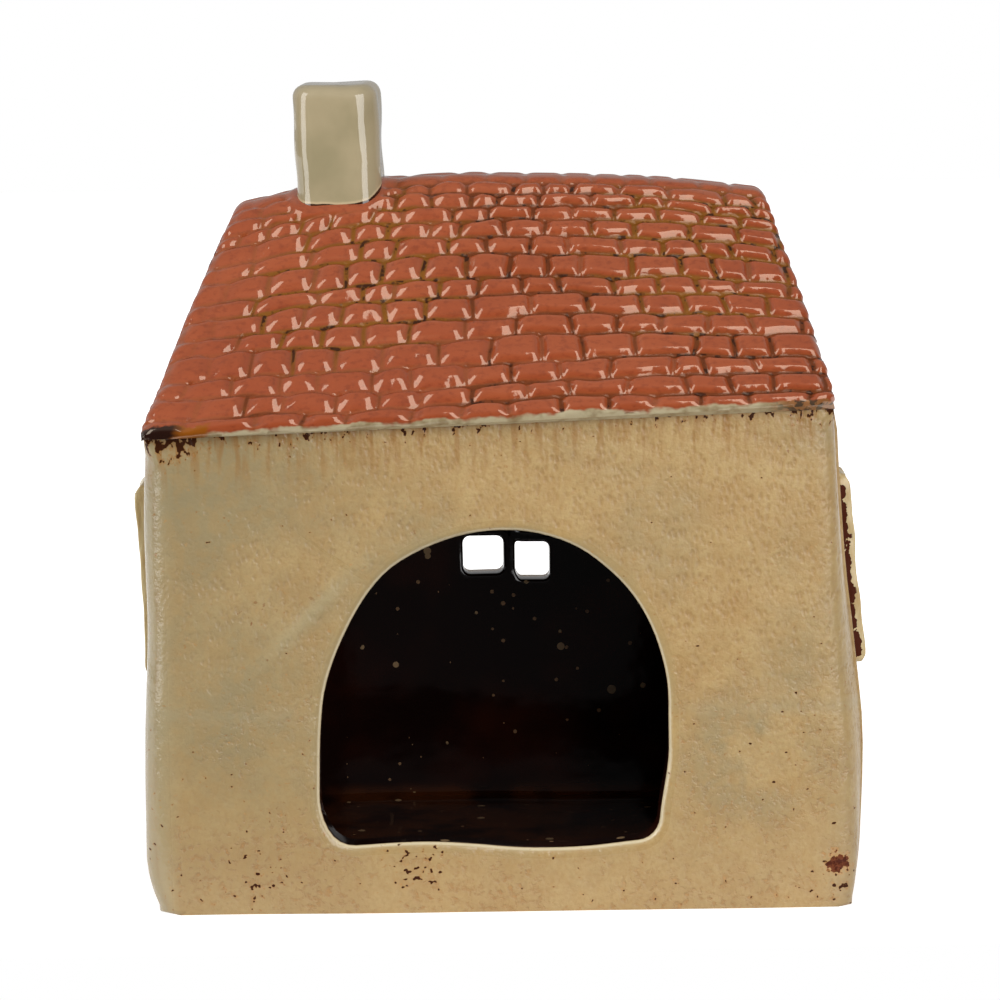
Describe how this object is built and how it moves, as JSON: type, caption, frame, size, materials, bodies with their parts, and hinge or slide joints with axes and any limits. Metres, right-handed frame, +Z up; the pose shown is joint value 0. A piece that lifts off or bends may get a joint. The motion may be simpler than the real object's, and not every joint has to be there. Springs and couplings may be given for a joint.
{
  "type": "tealight house",
  "caption": "Glazed stoneware cottage with a tiled roof, chimney, shuttered pierced windows and an arched mouth at the back for a tealight.",
  "frame": {"origin": "on the table, under the middle of the house", "axes": "+Z up, +Y towards the door, -Y towards the arched mouth, +X to the right as seen from the mouth's side"},
  "size_m": [0.149, 0.0942, 0.166],
  "materials": {
    "wall_glaze": "cream to buff satin-gloss glaze, celadon where thick",
    "roof_glaze": "glossy terracotta red glaze that breaks to brown and amber in the grooves",
    "chimney_glaze": "glossy grey-beige celadon glaze",
    "inside_glaze": "glossy near-black brown glaze with pale pin spots",
    "shutter_glaze": "glossy cream glaze that breaks to brown on the edges",
    "door_glaze": "glossy amber-brown glaze"
  },
  "bodies": {
    "root": {"floor_slab": "inside_glaze", "arch_wall": "wall_glaze", "door_wall": "wall_glaze", "left_gable_wall": "wall_glaze", "right_gable_wall": "wall_glaze", "roof_arch_slope": "roof_glaze", "roof_door_slope": "roof_glaze", "chimney": "chimney_glaze", "left_shutter_arch_side": "shutter_glaze", "left_shutter_door_side": "shutter_glaze", "right_shutter_arch_side": "shutter_glaze", "right_shutter_door_side": "shutter_glaze", "front_shutter_left": "shutter_glaze", "front_shutter_right": "shutter_glaze", "front_door": "door_glaze", "door_knob": "shutter_glaze"}
  },
  "joints": []
}
